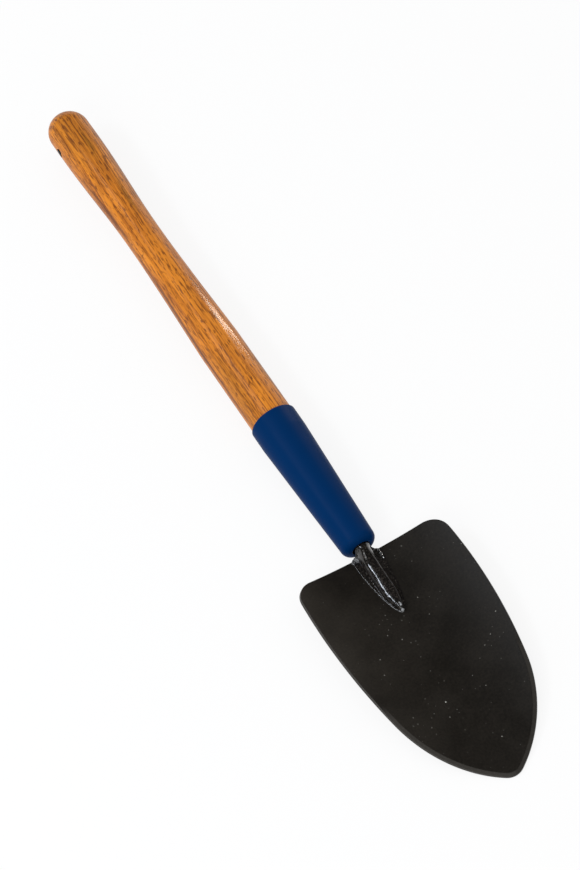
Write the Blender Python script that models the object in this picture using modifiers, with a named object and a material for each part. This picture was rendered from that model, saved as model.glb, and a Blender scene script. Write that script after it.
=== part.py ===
"""Nursery trowel.

A turned wooden handle is driven on to the square tang of a forged steel shank. A long enamelled
steel ferrule covers that joint and is nailed to the wood. Past the ferrule's mouth the shank
spreads into a pointed foot, which is welded on to the face of a rolled steel blade.

Lengths are in metres. A station is a distance along the handle's axis from the ferrule's lip,
positive towards the blade's tip. In the tool's own frame the handle's axis is the Y axis, station
s lies at y = -s, X runs across the blade and Z points up out of its face. The finished tool lies
face up, on its ferrule and on the tip of its blade.
"""

import math

import bmesh
import bpy
from mathutils import Matrix, Vector

# Clearances
FIT_GAP = 0.0003
JOINT_GAP = 0.0003

# Handle, turned from one length of wood, with its swell and waist measured from its rounded butt
# and its belly from the ferrule's lip
HANDLE_LENGTH = 0.3810
HANDLE_IN_FERRULE = 0.0711
SWELL_DIAMETER = 0.0313
SWELL_FROM_BUTT = 0.0430
WAIST_DIAMETER = 0.0260
WAIST_FROM_BUTT = 0.1180
WAIST_LENGTH = 0.0210
BELLY_DIAMETER = 0.0335
BELLY_FROM_LIP = 0.0269
HANDLE_END_CHAMFER = 0.0012
HANG_HOLE_DIAMETER = 0.00635
HANG_HOLE_FROM_BUTT = 0.0286

# Ferrule, a steel tube with a parallel lip end, a long taper and a rounded nose
FERRULE_LENGTH = 0.1170
FERRULE_DIAMETER = 0.0341
FERRULE_STRAIGHT = 0.0155
FERRULE_WALL = 0.0012
LIP_ROUNDING = 0.0006
NOSE_DIAMETER = 0.0259
MOUTH_DIAMETER = 0.0144

# Nail that holds the ferrule on the wood, driven in from the tool's back
PIN_STATION = 0.0600
PIN_DIAMETER = 0.0024
PIN_LENGTH = 0.0095
PIN_HEAD_DIAMETER = 0.0050
PIN_HEAD_HEIGHT = 0.0005

# Forged shank: square tang, round neck, pointed foot on the blade's face
TANG_LENGTH = 0.0950
TANG_SIDE = 0.0080
TANG_END_SIDE = 0.0035
SHANK_DIAMETER = 0.0114
FLARE_LENGTH = 0.0045
FOOT_LENGTH = 0.0496
FOOT_WIDTH = 0.0204
FOOT_PARALLEL = 0.0080
FOOT_TAPER_POWER = 1.4
FOOT_HEIGHT = 0.0067
FOOT_END_HEIGHT = 0.0040
FOOT_EDGE = 0.0010
FOOT_TIP_THICKNESS = 0.0012
FOOT_NOSE = 0.0035
FOOT_BAR_WIDTH = 0.0124
FOOT_BAR_SHARE = 0.85
FOOT_BAR_CROWN = 2.2
FOOT_BAR_FLANK = 0.7
CREST_RUN = 0.0155

# Blade, cut from flat plate, ground along its lower edges and rolled to one curvature.
# Its outline is given as seen square on to its face, from the middle of its top edge.
NOSE_TO_BLADE = 0.0030
BLADE_LENGTH = 0.1868
BLADE_WIDTH = 0.1146
BLADE_THICKNESS = 0.0025
BLADE_ROLL_RADIUS = 0.1360
BLADE_TILT = math.radians(0.57)
WIDEST_FROM_TOP = 0.0418
SHOULDER_FROM_TOP = 0.1208
TOP_EDGE_RADIUS = 0.5245
CORNER_RADIUS = 0.0143
SIDE_RADIUS = 0.4067
TIP_RADIUS = 0.0115
GROUND_WIDTH = 0.0026
GROUND_DEPTH = 0.0006
GROUND_FULL_FROM_TOP = 0.1184
GROUND_FADE = 0.0170

# Weld beads beside the foot, from a little above the blade's top edge downwards
BEAD_RADIUS = 0.0010
BEAD_START = -0.0012
BEAD_END_SHARE = 0.4
LEFT_BEAD_LENGTH = 0.0045
RIGHT_BEAD_LENGTH = 0.0105

# How finely curved surfaces are divided
ROUND_STEPS = 36
BUTT_STEPS = 7
CURVE_STEPS = 9
NOSE_STEPS = 5
SHANK_SIDES = 48
FOOT_RINGS = 16
LAST_FOOT_RING_ANGLE = math.radians(86)
BLADE_FACETS = 19
TOP_EDGE_STEPS = 6
CORNER_STEPS = 7
SIDE_STEPS = 8
LOWER_STEPS = 10
TIP_STEPS = 5
BEAD_POINTS = 7
SHARP_ANGLE = math.radians(35)
MERGE_DISTANCE = 0.00001
FLAT_ANGLE = math.radians(0.05)

# Places that follow from the sizes
LIP_RADIUS = FERRULE_DIAMETER / 2
NOSE_ROUNDING = (NOSE_DIAMETER - MOUTH_DIAMETER) / 2
TAPER_END = FERRULE_LENGTH - NOSE_ROUNDING
SHANK_RADIUS = SHANK_DIAMETER / 2
BLADE_STATION = FERRULE_LENGTH + NOSE_TO_BLADE
TANG_SHOULDER = HANDLE_IN_FERRULE + FIT_GAP
FACE_BELOW_AXIS = SHANK_RADIUS + JOINT_GAP

# Colours as linear red, green and blue
WOOD_COLOUR = (0.50, 0.19, 0.035, 1.0)
NAVY_COLOUR = (0.004, 0.025, 0.105, 1.0)
BLACK_STEEL_COLOUR = (0.018, 0.017, 0.016, 1.0)
WELD_COLOUR = (0.030, 0.029, 0.028, 1.0)
NAIL_COLOUR = (0.45, 0.45, 0.46, 1.0)

# The tool's frame turned so that local Z runs along the handle towards the butt
ALONG_HANDLE = (-math.pi / 2, 0.0, 0.0)

# From the blade's frame, with its origin on the face in the middle of the top edge, to the tool's
BLADE_PLACE = (Matrix.Translation((0.0, -BLADE_STATION, -FACE_BELOW_AXIS))
               @ Matrix.Rotation(BLADE_TILT, 4, "X"))


def ease(share):
    """Goes from 0 to 1 with a level start and a level finish."""
    return 0.5 - 0.5 * math.cos(math.pi * share)


def clamp(value, low, high):
    return max(low, min(high, value))


def spread(start, finish, steps):
    """Evenly spaced values from start to finish, both included."""
    return [start + (finish - start) * i / steps for i in range(steps + 1)]


def arc(centre, radius, start, finish, steps):
    """Points of an arc between two angles, both included."""
    return [(centre[0] + radius * math.cos(angle), centre[1] + radius * math.sin(angle))
            for angle in spread(start, finish, steps)]


def make_collection(name, hidden):
    collection = bpy.data.collections.new(name)
    bpy.context.scene.collection.children.link(collection)
    collection.hide_render = hidden
    return collection


def make_material(name, colour, roughness, metallic):
    material = bpy.data.materials.new(name)
    material.use_nodes = True
    shader = material.node_tree.nodes["Principled BSDF"]
    shader.inputs["Base Color"].default_value = colour
    shader.inputs["Roughness"].default_value = roughness
    shader.inputs["Metallic"].default_value = metallic
    return material


def place(obj, collection, parent, material, location=(0.0, 0.0, 0.0), rotation=(0.0, 0.0, 0.0)):
    """Puts a piece in its collection and in the tool's frame, with its material."""
    collection.objects.link(obj)
    obj.parent = parent
    obj.location = location
    obj.rotation_euler = rotation
    obj.data.materials.append(material)
    return obj


def place_cutter(obj, collection, parent, location, rotation=(0.0, 0.0, 0.0)):
    collection.objects.link(obj)
    obj.parent = parent
    obj.location = location
    obj.rotation_euler = rotation
    obj.hide_render = True
    obj.display_type = "WIRE"
    return obj


def turn(name, profile, closed):
    """A solid turned about local Z from (radius, height) points that run top to bottom outside."""
    mesh = bpy.data.meshes.new(name)
    edges = [(i, i + 1) for i in range(len(profile) - 1)]
    if closed:
        edges.append((len(profile) - 1, 0))
    mesh.from_pydata([(radius, 0.0, height) for radius, height in profile], edges, [])
    obj = bpy.data.objects.new(name, mesh)
    screw = obj.modifiers.new("turn", "SCREW")
    screw.steps = ROUND_STEPS
    screw.render_steps = ROUND_STEPS
    screw.use_merge_vertices = True
    screw.merge_threshold = MERGE_DISTANCE
    return obj


def cone(name, sides, low_radius, high_radius, depth):
    """A cylinder or cone from a primitive, with its axis on local Z and its middle at the origin."""
    mesh = bpy.data.meshes.new(name)
    shape = bmesh.new()
    bmesh.ops.create_cone(shape, cap_ends=True, segments=sides, radius1=low_radius,
                          radius2=high_radius, depth=depth)
    shape.to_mesh(mesh)
    shape.free()
    return bpy.data.objects.new(name, mesh)


def cut(obj, cutter):
    boolean = obj.modifiers.new(cutter.name, "BOOLEAN")
    boolean.operation = "DIFFERENCE"
    boolean.object = cutter


def ferrule_radius(station):
    """Outer radius of the ferrule from its lip to the start of its nose."""
    share = clamp((station - FERRULE_STRAIGHT) / (TAPER_END - FERRULE_STRAIGHT), 0.0, 1.0)
    return LIP_RADIUS + (NOSE_DIAMETER / 2 - LIP_RADIUS) * share


def wood_radius_in_ferrule(station):
    return ferrule_radius(station) - FERRULE_WALL - FIT_GAP


def handle_profile():
    """(radius, height) points down the handle's outside, where height 0 is the ferrule's lip."""
    top = HANDLE_LENGTH - HANDLE_IN_FERRULE
    swell = SWELL_DIAMETER / 2
    butt = arc((0.0, top - swell), swell, math.pi / 2, 0.0, BUTT_STEPS)
    butt[0] = (0.0, top)
    knots = [
        (swell, top - SWELL_FROM_BUTT),
        (WAIST_DIAMETER / 2, top - WAIST_FROM_BUTT),
        (WAIST_DIAMETER / 2, top - WAIST_FROM_BUTT - WAIST_LENGTH),
        (BELLY_DIAMETER / 2, BELLY_FROM_LIP),
        (wood_radius_in_ferrule(0.0), 0.0),
    ]
    points = butt + knots[:1]
    for (radius, height), (next_radius, next_height) in zip(knots, knots[1:]):
        for share in spread(0.0, 1.0, 1 if radius == next_radius else CURVE_STEPS)[1:]:
            points.append((radius + (next_radius - radius) * (share + ease(share)) / 2,
                           height + (next_height - height) * share))
    end_radius = wood_radius_in_ferrule(HANDLE_IN_FERRULE)
    points += [
        (wood_radius_in_ferrule(FERRULE_STRAIGHT), -FERRULE_STRAIGHT),
        (end_radius, HANDLE_END_CHAMFER - HANDLE_IN_FERRULE),
        (end_radius - HANDLE_END_CHAMFER, -HANDLE_IN_FERRULE),
        (0.0, -HANDLE_IN_FERRULE),
    ]
    return points


def build_handle(parts, cutters, tool, pin_hole):
    handle = turn("handle", handle_profile(), closed=False)
    place(handle, parts, tool, make_material("lacquered_wood", WOOD_COLOUR, 0.35, 0.0),
          rotation=ALONG_HANDLE)

    hang_hole = cone("hang_hole", ROUND_STEPS, HANG_HOLE_DIAMETER / 2, HANG_HOLE_DIAMETER / 2,
                     2 * SWELL_DIAMETER)
    hang_hole_y = HANDLE_LENGTH - HANDLE_IN_FERRULE - HANG_HOLE_FROM_BUTT
    place_cutter(hang_hole, cutters, tool, (0.0, hang_hole_y, 0.0), (0.0, math.pi / 2, 0.0))
    cut(handle, hang_hole)

    # The square hole runs from outside the handle's end face to just past the tang's end.
    reach = TANG_LENGTH + FIT_GAP
    taper = (TANG_SIDE - TANG_END_SIDE) / TANG_LENGTH
    half_diagonal = math.sqrt(0.5)
    wide = (TANG_SIDE + 2 * FIT_GAP + FIT_GAP * taper) * half_diagonal
    narrow = (TANG_END_SIDE + 2 * FIT_GAP - FIT_GAP * taper) * half_diagonal
    tang_hole = cone("tang_hole", 4, wide, narrow, reach + FIT_GAP)
    tang_hole.data.transform(Matrix.Rotation(math.pi / 4, 4, "Z"))
    middle = (reach - FIT_GAP) / 2 - TANG_SHOULDER
    place_cutter(tang_hole, cutters, tool, (0.0, middle, 0.0), ALONG_HANDLE)
    cut(handle, tang_hole)
    cut(handle, pin_hole)


def ferrule_profile():
    """Closed (radius, height) loop: down the outside from the lip, then up the inside."""
    inner_lip = LIP_RADIUS - FERRULE_WALL
    nose_centre = (NOSE_DIAMETER / 2 - NOSE_ROUNDING, NOSE_ROUNDING - FERRULE_LENGTH)
    nose_outside = arc(nose_centre, NOSE_ROUNDING, 0.0, -math.pi / 2, NOSE_STEPS)
    nose_inside = arc(nose_centre, NOSE_ROUNDING - FERRULE_WALL, -math.pi / 2, 0.0, NOSE_STEPS)
    return [
        (LIP_RADIUS - LIP_ROUNDING, 0.0),
        (LIP_RADIUS, -LIP_ROUNDING),
        (LIP_RADIUS, -FERRULE_STRAIGHT),
        *nose_outside,
        *nose_inside,
        (inner_lip, -FERRULE_STRAIGHT),
        (inner_lip, 0.0),
    ]


def build_ferrule(parts, tool, pin_hole):
    ferrule = turn("ferrule", ferrule_profile(), closed=True)
    place(ferrule, parts, tool, make_material("navy_enamel", NAVY_COLOUR, 0.3, 0.0),
          rotation=ALONG_HANDLE)
    cut(ferrule, pin_hole)


def build_pin(parts, tool):
    """A round nail with a low domed head, whose local Z points out of the tool's back."""
    seat = ferrule_radius(PIN_STATION) + JOINT_GAP
    head = PIN_HEAD_DIAMETER / 2
    profile = [
        (0.0, PIN_HEAD_HEIGHT),
        (head * 0.6, PIN_HEAD_HEIGHT * 0.8),
        (head, 0.0),
        (PIN_DIAMETER / 2, 0.0),
        (PIN_DIAMETER / 2, PIN_DIAMETER - PIN_LENGTH),
        (0.0, -PIN_LENGTH),
    ]
    pin = turn("ferrule_pin", profile, closed=False)
    place(pin, parts, tool, make_material("bright_nail", NAIL_COLOUR, 0.35, 1.0),
          location=(0.0, -PIN_STATION, -seat), rotation=(math.pi, 0.0, 0.0))


def build_pin_hole(cutters, tool):
    """The nail's hole through the ferrule's wall and into the wood."""
    seat = ferrule_radius(PIN_STATION) + JOINT_GAP
    depth = PIN_LENGTH + FIT_GAP
    radius = PIN_DIAMETER / 2 + FIT_GAP
    hole = cone("pin_hole", ROUND_STEPS, radius, radius, 2 * depth)
    return place_cutter(hole, cutters, tool, (0.0, -PIN_STATION, -seat))


def foot_share(down):
    """How far along the foot's pointed stretch a distance below the blade's top edge lies."""
    return clamp((down - FOOT_PARALLEL) / (FOOT_LENGTH - FOOT_PARALLEL), 0.0, 1.0)


def foot_half_width(down):
    """Half-width of the forging, from the round neck through the flare to the foot's point."""
    flare = ease(clamp((down + NOSE_TO_BLADE) / FLARE_LENGTH, 0.0, 1.0))
    full = SHANK_RADIUS + (FOOT_WIDTH / 2 - SHANK_RADIUS) * flare
    return full * math.sqrt(1.0 - foot_share(down) ** FOOT_TAPER_POWER)


def foot_crest(down):
    """Height of the foot's ridge over the blade's face, down to its blunt nose."""
    neck = FACE_BELOW_AXIS + SHANK_RADIUS
    drop = ease(clamp((down + NOSE_TO_BLADE) / CREST_RUN, 0.0, 1.0))
    crest = neck + (FOOT_HEIGHT - neck) * drop
    start = CREST_RUN - NOSE_TO_BLADE
    share = clamp((down - start) / (FOOT_LENGTH - start), 0.0, 1.0)
    crest += (FOOT_END_HEIGHT - FOOT_HEIGHT) * share
    nose = clamp((down - FOOT_LENGTH) / FOOT_NOSE + 1.0, 0.0, 1.0)
    return FOOT_TIP_THICKNESS + (crest - FOOT_TIP_THICKNESS) * math.sqrt(1.0 - nose ** 2)


def foot_rise(x, half):
    """Height across the foot as a share of its ridge: a round bar that stands on a thin flange.

    Near the point, where the flange is narrower than the bar, the bar keeps a share of its width.
    """
    bar = min(FOOT_BAR_WIDTH / 2, half * FOOT_BAR_SHARE)
    return (1.0 - min(abs(x) / bar, 1.0) ** FOOT_BAR_CROWN) ** FOOT_BAR_FLANK


def rolled(flat_x, y, z):
    """Where a point of the flat plate ends up after rolling, in the blade's frame.

    flat_x is measured along the face. The roll is made of narrow flat facets, and the middle one
    lies level.
    """
    facet = 2 * math.asin(BLADE_WIDTH / 2 / BLADE_ROLL_RADIUS) / BLADE_FACETS
    place_in_facets = flat_x / BLADE_ROLL_RADIUS / facet + BLADE_FACETS / 2
    index = clamp(math.floor(place_in_facets), 0, BLADE_FACETS - 1)
    edges = []
    for line in (index, index + 1):
        angle = (line - BLADE_FACETS / 2) * facet
        edges.append(Vector(((BLADE_ROLL_RADIUS - z) * math.sin(angle), y,
                             BLADE_ROLL_RADIUS - (BLADE_ROLL_RADIUS - z) * math.cos(angle))))
    return edges[0].lerp(edges[1], place_in_facets - index)


def along_face(x):
    """Distance along the rolled face of a point that is x from its middle, seen square on."""
    return BLADE_ROLL_RADIUS * math.asin(x / BLADE_ROLL_RADIUS)


def foot_ring(down):
    """One section of the foot in the tool's frame: bar and flange over an underside on the face."""
    half = foot_half_width(down)
    crest = foot_crest(down)
    points = []
    for i in range(SHANK_SIDES):
        angle = 2 * math.pi * i / SHANK_SIDES
        x = half * math.cos(angle)
        under = rolled(along_face(x), -down, 0.0).z + JOINT_GAP
        edge = rolled(along_face(half), -down, 0.0).z + JOINT_GAP + FOOT_EDGE
        edge = min(edge, (crest + under) / 2)
        if i in (0, SHANK_SIDES // 2):
            z = edge
        elif i < SHANK_SIDES // 2:
            z = edge + (crest - edge) * foot_rise(x, half)
        else:
            z = under
        points.append(BLADE_PLACE @ Vector((x, -down, z)))
    return points


def neck_ring(station, radius):
    return [Vector((radius * math.cos(angle), -station, radius * math.sin(angle)))
            for angle in spread(0.0, 2 * math.pi, SHANK_SIDES)[:-1]]


def tang_ring(station, side):
    points = []
    for angle in spread(0.0, 2 * math.pi, SHANK_SIDES)[:-1]:
        x = math.cos(angle)
        z = math.sin(angle)
        reach = side / 2 / max(abs(x), abs(z))
        points.append(Vector((x * reach, -station, z * reach)))
    return points


def shank_rings():
    """Sections of the forging from the tang's end to the foot's point."""
    rings = [
        tang_ring(TANG_SHOULDER - TANG_LENGTH, TANG_END_SIDE),
        tang_ring(TANG_SHOULDER, TANG_SIDE),
        neck_ring(TANG_SHOULDER, SHANK_RADIUS),
        neck_ring(FERRULE_LENGTH, SHANK_RADIUS),
    ]
    for share in spread(0.0, 1.0, 4)[1:]:
        station = FERRULE_LENGTH + FLARE_LENGTH * share
        foot = foot_ring(station - BLADE_STATION)
        neck = neck_ring(station, SHANK_RADIUS)
        rings.append([a.lerp(b, ease(share)) for a, b in zip(neck, foot)])
    start = FLARE_LENGTH - NOSE_TO_BLADE
    for share in spread(0.0, 1.0, FOOT_RINGS)[1:]:
        # The sections crowd towards the point, where the foot narrows fastest.
        walked = math.sin(share * LAST_FOOT_RING_ANGLE)
        rings.append(foot_ring(start + (FOOT_LENGTH - start) * walked))
    return rings


def build_shank(parts, tool):
    """A loft between unlike sections: square tang, round neck, foot with its bar and flange."""
    shape = bmesh.new()
    rings = [[shape.verts.new(point) for point in ring] for ring in shank_rings()]
    for ring, following in zip(rings, rings[1:]):
        for i in range(SHANK_SIDES):
            j = (i + 1) % SHANK_SIDES
            shape.faces.new((ring[i], ring[j], following[j], following[i]))
    shape.faces.new(reversed(rings[0]))
    shape.faces.new(rings[-1])
    bmesh.ops.recalc_face_normals(shape, faces=shape.faces)
    mesh = bpy.data.meshes.new("shank")
    shape.to_mesh(mesh)
    shape.free()
    mesh.shade_smooth()
    mesh.set_sharp_from_angle(angle=SHARP_ANGLE)
    shank = bpy.data.objects.new("shank", mesh)
    place(shank, parts, tool, make_material("forged_black", BLACK_STEEL_COLOUR, 0.3, 0.3))


def half_outline():
    """Right half of the blade's outline, (x, distance below the top edge), round to the tip."""
    top_centre = Vector((0.0, TOP_EDGE_RADIUS))
    side_centre = Vector((BLADE_WIDTH / 2 - SIDE_RADIUS, WIDEST_FROM_TOP))

    # The corner's centre lies inside the top arc and inside the side arc, on the upper right.
    to_top = TOP_EDGE_RADIUS - CORNER_RADIUS
    to_side = SIDE_RADIUS - CORNER_RADIUS
    between = top_centre - side_centre
    along = (to_side ** 2 - to_top ** 2 + between.length_squared) / (2 * between.length)
    across = math.sqrt(to_side ** 2 - along ** 2)
    direction = between.normalized()
    corner = side_centre + along * direction + across * Vector((direction.y, -direction.x))
    top_angle = math.atan2(*(corner - top_centre).yx)
    side_angle = math.atan2(*(corner - side_centre).yx)

    # The lower arc runs on smoothly from the side arc and into the round tip.
    shoulder_angle = math.asin((SHOULDER_FROM_TOP - WIDEST_FROM_TOP) / SIDE_RADIUS)
    outward = Vector((math.cos(shoulder_angle), math.sin(shoulder_angle)))
    shoulder = side_centre + SIDE_RADIUS * outward
    tip_centre = Vector((0.0, BLADE_LENGTH - TIP_RADIUS))
    chord = shoulder - tip_centre
    lower_radius = ((chord.length_squared - TIP_RADIUS ** 2)
                    / (2 * (chord.dot(outward) - TIP_RADIUS)))
    lower_centre = shoulder - lower_radius * outward
    tip_angle = math.atan2(*(tip_centre - lower_centre).yx)

    return (
        arc(top_centre, TOP_EDGE_RADIUS, -math.pi / 2, top_angle, TOP_EDGE_STEPS)[:-1]
        + arc(corner, CORNER_RADIUS, top_angle, side_angle, CORNER_STEPS)[:-1]
        + arc(side_centre, SIDE_RADIUS, side_angle, shoulder_angle, SIDE_STEPS)[:-1]
        + arc(lower_centre, lower_radius, shoulder_angle, tip_angle, LOWER_STEPS)[:-1]
        + arc(tip_centre, TIP_RADIUS, tip_angle, math.pi / 2, TIP_STEPS)
    )


def flat_plate():
    """The blade's plate before grinding and rolling, with its face at z = 0."""
    half = [(along_face(max(x, 0.0)), -down) for x, down in half_outline()]
    loop = half + [(-x, y) for x, y in reversed(half[1:-1])]
    curve = bpy.data.curves.new("plate_outline", "CURVE")
    curve.dimensions = "2D"
    curve.fill_mode = "BOTH"
    curve.extrude = BLADE_THICKNESS / 2
    spline = curve.splines.new("POLY")
    spline.points.add(len(loop) - 1)
    for point, (x, y) in zip(spline.points, loop):
        point.co = (x, y, 0.0, 1.0)
    spline.use_cyclic_u = True
    outline = bpy.data.objects.new("plate_outline", curve)
    bpy.context.scene.collection.objects.link(outline)
    graph = bpy.context.evaluated_depsgraph_get()
    mesh = bpy.data.meshes.new_from_object(outline.evaluated_get(graph))
    bpy.data.objects.remove(outline)
    bpy.data.curves.remove(curve)
    mesh.materials.clear()
    mesh.transform(Matrix.Translation((0.0, 0.0, -BLADE_THICKNESS / 2)))
    return mesh


def grind(shape):
    """Lowers the face's rim along the lower edges and the tip, as one ground facet."""
    face = max(shape.faces, key=lambda f: f.calc_center_median().z)
    rim = list(face.verts)
    bmesh.ops.inset_region(shape, faces=[face], thickness=GROUND_WIDTH, use_even_offset=True)
    for vert in rim:
        share = clamp((-vert.co.y - GROUND_FULL_FROM_TOP) / GROUND_FADE + 1.0, 0.0, 1.0)
        vert.co.z -= GROUND_DEPTH * ease(share)


def roll(shape):
    """Divides the plate along straight lines and bends it into facets about them."""
    half_angle = math.asin(BLADE_WIDTH / 2 / BLADE_ROLL_RADIUS)
    for angle in spread(-half_angle, half_angle, BLADE_FACETS)[1:-1]:
        everything = list(shape.verts) + list(shape.edges) + list(shape.faces)
        bmesh.ops.bisect_plane(shape, geom=everything, dist=MERGE_DISTANCE,
                               plane_co=(angle * BLADE_ROLL_RADIUS, 0.0, 0.0),
                               plane_no=(1.0, 0.0, 0.0))
    for vert in shape.verts:
        vert.co = rolled(*vert.co)


def build_blade(parts, tool):
    mesh = flat_plate()
    shape = bmesh.new()
    shape.from_mesh(mesh)
    bmesh.ops.remove_doubles(shape, verts=shape.verts, dist=MERGE_DISTANCE)
    bmesh.ops.dissolve_limit(shape, angle_limit=FLAT_ANGLE, verts=[], edges=shape.edges)
    grind(shape)
    roll(shape)
    bmesh.ops.recalc_face_normals(shape, faces=shape.faces)
    shape.to_mesh(mesh)
    shape.free()
    mesh.shade_smooth()
    mesh.set_sharp_from_angle(angle=SHARP_ANGLE)
    blade = bpy.data.objects.new("blade", mesh)
    place(blade, parts, tool, make_material("blackened_plate", BLACK_STEEL_COLOUR, 0.45, 0.3),
          location=BLADE_PLACE.translation, rotation=BLADE_PLACE.to_euler())


def build_weld_bead(parts, tool, material, name, side, length):
    """A tapered bead along the foot's edge, laid in the corner between the foot and the face."""
    curve = bpy.data.curves.new(name, "CURVE")
    curve.dimensions = "3D"
    curve.bevel_depth = BEAD_RADIUS
    curve.bevel_resolution = 2
    curve.use_fill_caps = True
    spline = curve.splines.new("POLY")
    spline.points.add(BEAD_POINTS - 1)
    for point, share in zip(spline.points, spread(0.0, 1.0, BEAD_POINTS - 1)):
        down = BEAD_START + length * share
        x = foot_half_width(down) + JOINT_GAP + BEAD_RADIUS
        lift = rolled(along_face(x + BEAD_RADIUS), -down, 0.0).z
        point.co = (side * x, -down, lift + JOINT_GAP + BEAD_RADIUS, 1.0)
        point.radius = BEAD_END_SHARE + (1.0 - BEAD_END_SHARE) * math.sin(math.pi * share)
    bead = bpy.data.objects.new(name, curve)
    place(bead, parts, tool, material,
          location=BLADE_PLACE.translation, rotation=BLADE_PLACE.to_euler())


def lay_down(tool):
    """Lays the tool on its ferrule and its tip, with the middle of its box over the origin."""
    ferrule_rest = Vector((0.0, -FERRULE_STRAIGHT, -LIP_RADIUS))
    tip_rest = BLADE_PLACE @ rolled(0.0, -BLADE_LENGTH, -BLADE_THICKNESS)
    pitch = math.atan2(tip_rest.z - ferrule_rest.z, ferrule_rest.y - tip_rest.y)
    turned = Matrix.Rotation(pitch, 4, "X")
    butt_end = Vector((0.0, HANDLE_LENGTH - HANDLE_IN_FERRULE, 0.0))
    tip_end = BLADE_PLACE @ rolled(0.0, -BLADE_LENGTH, -GROUND_DEPTH)
    middle = ((turned @ butt_end).y + (turned @ tip_end).y) / 2
    tool.rotation_euler = (pitch, 0.0, 0.0)
    tool.location = (0.0, -middle, -(turned @ ferrule_rest).z)


def main():
    for obj in list(bpy.data.objects):
        bpy.data.objects.remove(obj)
    parts = make_collection("nursery_trowel", hidden=False)
    cutters = make_collection("cutters", hidden=True)

    tool = bpy.data.objects.new("tool_frame", None)
    parts.objects.link(tool)
    lay_down(tool)

    pin_hole = build_pin_hole(cutters, tool)
    build_handle(parts, cutters, tool, pin_hole)
    build_ferrule(parts, tool, pin_hole)
    build_pin(parts, tool)
    build_shank(parts, tool)
    build_blade(parts, tool)
    weld = make_material("weld_steel", WELD_COLOUR, 0.35, 0.6)
    build_weld_bead(parts, tool, weld, "weld_bead_left", -1, LEFT_BEAD_LENGTH)
    build_weld_bead(parts, tool, weld, "weld_bead_right", 1, RIGHT_BEAD_LENGTH)


if __name__ == "__main__":
    main()
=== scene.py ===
"""Nursery trowel, finished for its looks around the fixed frame of its CAD model.

Lengths are in metres. In the tool's own frame the handle's axis is the Y axis with the ferrule's
lip at y = 0 and the butt on the + side, X runs across the blade and Z points up out of its face. A
station is a distance from the lip towards the blade's tip, so it lies at y = -station. Every shape
is worked out there and carried into the world at the end.
"""
import math

import bpy
import numpy as np
from bpy.props import FloatProperty, FloatVectorProperty, PointerProperty
from mathutils import Matrix, Vector


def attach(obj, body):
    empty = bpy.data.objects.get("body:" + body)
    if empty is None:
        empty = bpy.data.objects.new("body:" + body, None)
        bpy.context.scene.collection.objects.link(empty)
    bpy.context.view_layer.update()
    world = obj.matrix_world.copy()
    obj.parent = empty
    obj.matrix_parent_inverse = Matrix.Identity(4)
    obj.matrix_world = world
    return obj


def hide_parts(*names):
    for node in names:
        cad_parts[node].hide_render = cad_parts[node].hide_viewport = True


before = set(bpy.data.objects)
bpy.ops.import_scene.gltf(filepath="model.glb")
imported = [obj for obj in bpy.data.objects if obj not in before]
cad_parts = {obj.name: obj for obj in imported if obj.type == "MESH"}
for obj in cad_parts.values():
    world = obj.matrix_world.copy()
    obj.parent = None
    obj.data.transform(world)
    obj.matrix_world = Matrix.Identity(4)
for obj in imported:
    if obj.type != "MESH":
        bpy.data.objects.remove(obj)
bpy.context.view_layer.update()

bl_info = {
    "name": "Nursery Trowel",
    "version": (1, 0, 0),
    "blender": (4, 5, 0),
    "location": "3D View > Sidebar > Trowel",
    "description": "Builds a nursery trowel with its wood, enamel and blackened steel finishes",
    "category": "Add Mesh",
}

MM = 0.001

# Where the tool lies in the world: it rests on its ferrule and on the tip of its blade
TOOL_PITCH = math.radians(1.3232587584)
TOOL_PLACE = (0.0, -0.0016542524, 0.0174033958)

# Photograph's camera, from the blade's outline and the ferrule's ends
CAMERA_PLACE = (-0.49062, -0.99263, 1.68646)
CAMERA_TURN = tuple(math.radians(angle) for angle in (33.16090, 2.34678, -30.48050))
CAMERA_LENS = 120.9
CAMERA_SENSOR = 36.0


def colour(text):
    """Linear red, green, blue and full opacity of an sRGB hex colour."""
    values = np.array([int(text[i:i + 2], 16) for i in (1, 3, 5)]) / 255
    linear = np.where(values <= 0.04045, values / 12.92, ((values + 0.055) / 1.055) ** 2.4)
    return (*(float(value) for value in linear), 1.0)


def length(name, description, default):
    return FloatProperty(name=name, description=description, default=default, min=0.0,
                         unit="LENGTH", precision=5)


def tint(name, description, default):
    return FloatVectorProperty(name=name, description=description, default=colour(default),
                               subtype="COLOR", size=4, min=0.0, max=1.0)


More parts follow.
